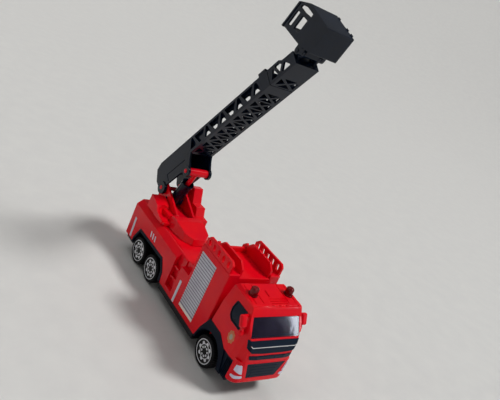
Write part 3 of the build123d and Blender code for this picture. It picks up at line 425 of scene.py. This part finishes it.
def make_shutter(word, side, mats):
    """Roller shutter: a dark backing, rounded slats and a bright rail along the bottom."""
    y0, y1, z0, z1 = SHUTTER
    y0, y1 = y0 + SHIFT, y1 + SHIFT
    inset = BACKING_INSET
    backing = bmesh.new()
    prism_box(
        backing, on_side_x(FLANK - SUNK, side), y0 + inset, y1 - inset, z0 + inset, z1 - inset,
        BACKING_DEPTH, PRINT_ROUNDING,
    )
    back = finish_mesh(f"shutter_backing_{word}", backing, mats["gap"], "truck")
    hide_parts(f"shutter_{word}")
    place = on_side_x(FLANK, side)
    slats = bmesh.new()
    pitch = (z1 - z0 - SLATS_START) / SLATS
    for index in range(SLATS):
        z = z0 + SLATS_START + pitch * index
        prism_box(slats, place, y0, y1, z + SLAT_GAP_SHARE * pitch, z + pitch, SLAT_DEPTH, SLAT_ROUNDING)
    finish_mesh(f"shutter_slats_{word}", slats, mats["shutter"], "truck")
    rail = bmesh.new()
    prism_box(rail, place, y0, y1, z0, z0 + RAIL_HEIGHT, RAIL_DEPTH, RAIL_ROUNDING)
    finish_mesh(f"shutter_rail_{word}", rail, mats["rail"], "truck")


# The cab's side leans in above the waist, and again in front of its corner.
WAIST_Z, WAIST_LEAN = 49.0, 0.1475
CORNER_Y, CORNER_LEAN = -72.0, 0.12
# Door window: its outline as (y, z), a point inside it, and the section of the moulding round it as
# (distance outside the outline, height above the door).
WINDOW_OUTLINE = [
    (-58.2, 55.8), (-57.3, 50.4), (-58.2, 45.6), (-60.8, 43.4), (-72.6, 43.4), (-74.4, 45.4), (-69.6, 55.8),
]
WINDOW_MIDDLE = Vector((-65.5, 49.5))
WINDOW_CORNER, CORNER_STEPS = 1.0, 6
MOULDING = [(-0.75, -0.5), (-0.75, 0.02), (-0.5, 0.12), (0.0, 0.14), (0.2, 0.1), (0.25, -0.1)]


def flank_x(y, z):
    """Half width of the cab's door side at (y, z)."""
    lean = max(0.0, z - WAIST_Z) * WAIST_LEAN
    corner = max(0.0, CORNER_Y - (y - SHIFT)) * CORNER_LEAN
    return FLANK - lean - corner


def rounded_loop(points, radius):
    """Closed outline with its corners replaced by short arcs (quadratic curves)."""
    loop = []
    points = [Vector(point) for point in points]
    for index, corner in enumerate(points):
        before, after = points[index - 1], points[(index + 1) % len(points)]
        start = corner + (before - corner).normalized() * radius
        end = corner + (after - corner).normalized() * radius
        for step in range(CORNER_STEPS + 1):
            t = step / CORNER_STEPS
            loop.append(start * (1 - t) ** 2 + corner * 2 * t * (1 - t) + end * t * t)
    return loop


def make_window_frame(word, side, material):
    """Rubber moulding round the door window, a rounded strip standing just proud of the door."""
    loop = rounded_loop(WINDOW_OUTLINE, WINDOW_CORNER)
    bm = bmesh.new()
    rings = []
    for index, point in enumerate(loop):
        along = (loop[(index + 1) % len(loop)] - loop[index - 1]).normalized()
        out = Vector((along.y, -along.x))
        if out.dot(point - WINDOW_MIDDLE) < 0:
            out = -out
        ring = []
        for across, proud in MOULDING:
            at = point + out * across
            y = at.x + SHIFT
            ring.append(bm.verts.new((side * (flank_x(y, at.y) + proud), y, at.y)))
        rings.append(ring)
    join_rings(bm, rings)
    finish_mesh(f"window_frame_{word}", bm, material, "truck")


# Door badge: its centre on the door as (y, z), half sizes along y and z, and the print's depths.
BADGE_Y, BADGE_Z = -67.3, 35.8
PETALS, PETAL_WAVE, PETAL_STEPS, PETAL_HALF_Y, PETAL_HALF_Z = 8, 0.07, 96, 3.1, 4.2
CENTRE_STEPS, CENTRE_HALF_Y, CENTRE_HALF_Z = 32, 1.4, 1.9
GOLD_DEPTH, CENTRE_DEPTH = 0.07, 0.09


def make_badge(word, side, mats):
    """Plain petalled rosette printed on the door, with a pale round centre."""
    y0, z0 = BADGE_Y + SHIFT, BADGE_Z
    petals, disc = [], []
    for step in range(PETAL_STEPS):
        angle = TURN * step / PETAL_STEPS
        reach = 1.0 + PETAL_WAVE * math.cos(PETALS * angle)
        y = y0 + PETAL_HALF_Y * reach * math.cos(angle)
        petals.append((y, z0 + PETAL_HALF_Z * reach * math.sin(angle)))
    for step in range(CENTRE_STEPS):
        angle = TURN * step / CENTRE_STEPS
        disc.append((y0 + CENTRE_HALF_Y * math.cos(angle), z0 + CENTRE_HALF_Z * math.sin(angle)))
    gold, pale = bmesh.new(), bmesh.new()
    slab(gold, petals, on_side_x(FLANK - SUNK, side), GOLD_DEPTH, PRINT_ROUNDING)
    slab(pale, disc, on_side_x(FLANK, side), CENTRE_DEPTH, PRINT_ROUNDING)
    finish_mesh(f"door_badge_{word}", gold, mats["gold"], "truck")
    finish_mesh(f"door_badge_centre_{word}", pale, mats["badge_centre"], "truck")


# Slanted bars above the rear wheels: the first bar's y, their pitch, width and slant, and z.
BARS, BARS_Y, BAR_PITCH, BAR_WIDTH, BAR_SLANT = 3, 41.2, 3.4, 1.3, 1.0
BAR_BOTTOM, BAR_TOP = 28.7, 33.0
BAR_DEPTH = 0.08


def make_side_marks(word, side, material):
    """Slanted bars printed above the rear wheels in place of a fleet number."""
    bm = bmesh.new()
    for index in range(BARS):
        y = BARS_Y + BAR_PITCH * index + SHIFT
        top = y + BAR_SLANT
        outline = [(y, BAR_BOTTOM), (y + BAR_WIDTH, BAR_BOTTOM), (top + BAR_WIDTH, BAR_TOP), (top, BAR_TOP)]
        slab(bm, outline, on_side_x(FLANK - SUNK, side), BAR_DEPTH, PRINT_ROUNDING)
    finish_mesh(f"side_bars_{word}", bm, material, "truck")


def make_flanks(mats):
    for word, side in SIDES.items():
        make_shutter(word, side, mats)
        make_window_frame(word, side, mats["trim"])
        make_badge(word, side, mats)
        make_side_marks(word, side, mats["strip"])


# ---- End of the ladder ----
BOOM_PIVOT = middle("boom_pivot_pin")
BOOM_PITCH = math.radians(55.8)
# The web: where it starts along the ladder, half its width, its two edges and its thickness.
WEB_START, WEB_HALF_WIDTH, WEB_LOW, WEB_HIGH, WEB_DEPTH, WEB_ROUNDING = 153.7, 6.3, 10.0, 16.4, 0.9, 0.2


def on_boom(u):
    """Map (x, height above the pivot's line, depth) onto the raised ladder, from u along it."""
    c, s = math.cos(BOOM_PITCH), math.sin(BOOM_PITCH)
    y, z = BOOM_PIVOT.y, BOOM_PIVOT.z
    return lambda a, b, d: (a, y - (u + d) * c + b * s, z + (u + d) * s + b * c)


def make_head_web(material):
    """Web that closes the ladder's end between the basket's hinge lugs."""
    bm = bmesh.new()
    place, half = on_boom(WEB_START), WEB_HALF_WIDTH
    prism_box(bm, place, -half, half, WEB_LOW, WEB_HIGH, WEB_DEPTH, WEB_ROUNDING)
    finish_mesh("head_web", bm, material, "boom_inner")


# ---- CAD pieces: rounded moulded edges and finished materials ----
# Material key: edge rounding in millimetres, and the nodes that have both.
FINISHES = {
    "red": (0.30, [
        "cab_shell", "body_shell", "turntable", "control_console", "access_steps", "bumper",
        "boom_cradle", "boom_bracket", "handrail_left", "handrail_right", "mirror_left",
        "mirror_right", "cylinder_rod", "boom_pivot_pin",
    ]),
    "black": (0.12, [
        "boom_outer", "boom_inner", "section_stop", "basket", "basket_pin", "cylinder_barrel",
    ]),
    "trim": (0.30, [
        "cab_step_left", "cab_step_right", "front_arch_left", "front_arch_right",
        "rear_arch_left", "rear_arch_right",
    ]),
    "chassis": (0.25, ["chassis"]),
    "hub": (0.12, [f"hub_{axle}_{word}" for axle in AXLES for word in SIDES]),
    "steel": (0.12, [
        "axle_front", "axle_mid", "axle_rear", "chassis_screws", "turntable_screw",
        "turntable_washer",
    ]),
    "glass": (0.12, ["windscreen"]),
    "door_glass": (0.12, ["door_window_left", "door_window_right"]),
    "beacon": (0.15, ["beacon_left", "beacon_right"]),
    "strip": (0.06, ["reflective_stripes"]),
    "grille": (0.08, ["grille_band", "grille_lower", "grille_slot"]),
    "bright": (0.08, ["grille_trim"]),
    "lamp": (0.08, ["headlamps_left", "headlamps_right"]),
    "seat": (0.30, ["cab_seats"]),
}
# Merging the flat facets of these before rounding makes faulty faces at holes and slanted cuts.
KEEP_FACETS = {
    "boom_outer", "boom_inner", "basket", "boom_cradle", "grille_lower", "body_shell", "mirror_left",
    "mirror_right", "windscreen", "grille_band", "grille_slot", "grille_trim", "beacon_left",
    "beacon_right", "bumper",
}
# Rounding these in Blender makes faulty faces, so they keep their CAD edges.
KEEP_EDGES = {"cab_shell", "handrail_left", "handrail_right"}
FACET_GAP = 2e-6
FLAT_ANGLE, EDGE_ANGLE = 0.6, 30.0


def soften(name, width):
    """Round a CAD piece's edges by modifiers, without touching its own mesh."""
    obj = NODES[name]
    weld = obj.modifiers.new("weld_facets", "WELD")
    weld.merge_threshold = FACET_GAP
    if name not in KEEP_FACETS | KEEP_EDGES:
        flat = obj.modifiers.new("merge_flat_facets", "DECIMATE")
        flat.decimate_type = "DISSOLVE"
        flat.angle_limit = math.radians(FLAT_ANGLE)
    if name not in KEEP_EDGES:
        edge = obj.modifiers.new("moulded_edges", "BEVEL")
        edge.width = width * MM
        edge.segments = 2
        edge.limit_method = "ANGLE"
        edge.angle_limit = math.radians(EDGE_ANGLE)
        edge.miter_outer = "MITER_ARC"
        edge.use_clamp_overlap = True
    obj.modifiers.new("even_shading", "WEIGHTED_NORMAL").keep_sharp = True


def finish_cad(mats):
    for key, (width, names) in FINISHES.items():
        for name in names:
            obj = NODES[name]
            obj.data.materials.clear()
            obj.data.materials.append(mats[key])
            soften(name, width)


# ---- Floor, light and camera ----
# The side whose floor the windscreen mirrors towards the camera. The floor stays lower there.
MIRRORED = Vector((0.707, -0.707, 0.0))
LOW_SLOPE, MORE_SLOPE = 0.14, 0.268
# The slope starts to rise where a direction's cosine from that side falls to the first number,
# and is at its steepest when it has fallen by the second.
LOW_COSINE, COSINE_FALL = 0.9, 0.35
FLAT_REACH, BEND_LENGTH = 1.2, 1.2
FLOOR_HALF, FLOOR_CELLS = 9.0, 96
BACKDROP_COLOUR, BACKDROP_STRENGTH = (0.86, 0.87, 0.88, 1.0), 0.15
LAMP_AIM = Vector((0.0, 0.0, 0.06))


def sweep_height(place):
    """Height of the paper floor: flat round the truck, then bending up into an even slope."""
    reach = place.length
    toward = place.normalized().dot(MIRRORED) if reach else 0.0
    t = min(max((LOW_COSINE - toward) / COSINE_FALL, 0.0), 1.0)
    slope = LOW_SLOPE + MORE_SLOPE * (t * t * (3.0 - 2.0 * t))
    bend = min(max(reach - FLAT_REACH, 0.0), BEND_LENGTH)
    beyond = max(reach - (FLAT_REACH + BEND_LENGTH), 0.0)
    return slope * (bend * bend / (2 * BEND_LENGTH) + beyond)


def make_floor():
    bm = bmesh.new()
    bmesh.ops.create_grid(bm, x_segments=FLOOR_CELLS, y_segments=FLOOR_CELLS, size=FLOOR_HALF)
    for vert in bm.verts:
        vert.co.z = sweep_height(vert.co)
    mesh = bpy.data.meshes.new("studio_floor")
    bm.to_mesh(mesh)
    bm.free()
    mesh.polygons.foreach_set("use_smooth", [True] * len(mesh.polygons))
    floor = bpy.data.objects.new("studio_floor", mesh)
    SCENE.collection.objects.link(floor)
    paper = plastic(
        "floor_paper", (0.65, 0.65, 0.64), (0.62, 0.62, 0.615), 0.6, peel=0.05, specular=0.2,
    )
    mesh.materials.append(paper)


def add_lamp(name, kind, place, power, colour):
    """Lamp at place, turned towards the truck; its data is returned, for its width to be set."""
    data = bpy.data.lights.new(name, kind)
    data.energy = power
    data.color = colour
    lamp = bpy.data.objects.new(name, data)
    lamp.location = place
    lamp.rotation_mode = "QUATERNION"
    lamp.rotation_quaternion = (LAMP_AIM - Vector(place)).to_track_quat("-Z", "Y")
    SCENE.collection.objects.link(lamp)
    return data


def make_studio():
    """Pale floor, dim even backdrop, two wide soft suns and a small soft box.

    The soft box is close to the truck, and shows as the pale patch in the windscreen.
    """
    make_floor()
    world = bpy.data.worlds.new("studio_world")
    world.use_nodes = True
    backdrop = world.node_tree.nodes["Background"]
    backdrop.inputs["Color"].default_value = BACKDROP_COLOUR
    backdrop.inputs["Strength"].default_value = BACKDROP_STRENGTH
    SCENE.world = world
    SCENE.view_settings.view_transform = "Standard"
    key = add_lamp("key", "SUN", (0.45, -0.38, 1.0), 2.1, (1.0, 0.985, 0.96))
    key.angle = math.radians(14.0)
    overhead = add_lamp("overhead", "SUN", (-0.1, 0.35, 1.0), 0.7, (1.0, 0.99, 0.97))
    overhead.angle = math.radians(60.0)
    glint = add_lamp("window_glint", "AREA", (0.749, -0.703, 0.304), 0.45, (0.88, 0.93, 1.0))
    glint.size = 0.10


# The camera's place is in millimetres, drawn like the truck's, and its roll is in degrees.
CAMERA_PLACE = (-237.7, -261.5, 222.3)
CAMERA_AIM = Vector((0.644, 0.687, -0.337))
CAMERA_ROLL = 25.58
CAMERA_LENS, SENSOR_WIDTH = 40.75, 36.0


def make_camera():
    """Camera above the front right corner, tilted so that the truck leans in the frame."""
    aim = CAMERA_AIM.normalized()
    level = aim.cross(Vector((0, 0, 1))).normalized()
    above = level.cross(aim)
    roll = math.radians(CAMERA_ROLL)
    right = level * math.cos(roll) + above * math.sin(roll)
    up = right.cross(aim)
    data = bpy.data.cameras.new("camera")
    data.lens = CAMERA_LENS
    data.sensor_width = SENSOR_WIDTH
    data.clip_start, data.clip_end = 0.01, 50.0
    camera = bpy.data.objects.new("camera", data)
    turn = Matrix((right, up, -aim)).transposed().to_4x4()
    x, y, z = CAMERA_PLACE
    camera.matrix_world = Matrix.Translation(Vector((x, y + SHIFT, z)) * MM) @ turn
    SCENE.collection.objects.link(camera)
    SCENE.camera = camera


def main():
    mats = make_materials()
    finish_cad(mats)
    make_wheels(mats)
    make_flanks(mats)
    make_head_web(mats["black"])
    make_studio()
    make_camera()


main()
bpy.context.view_layer.update()
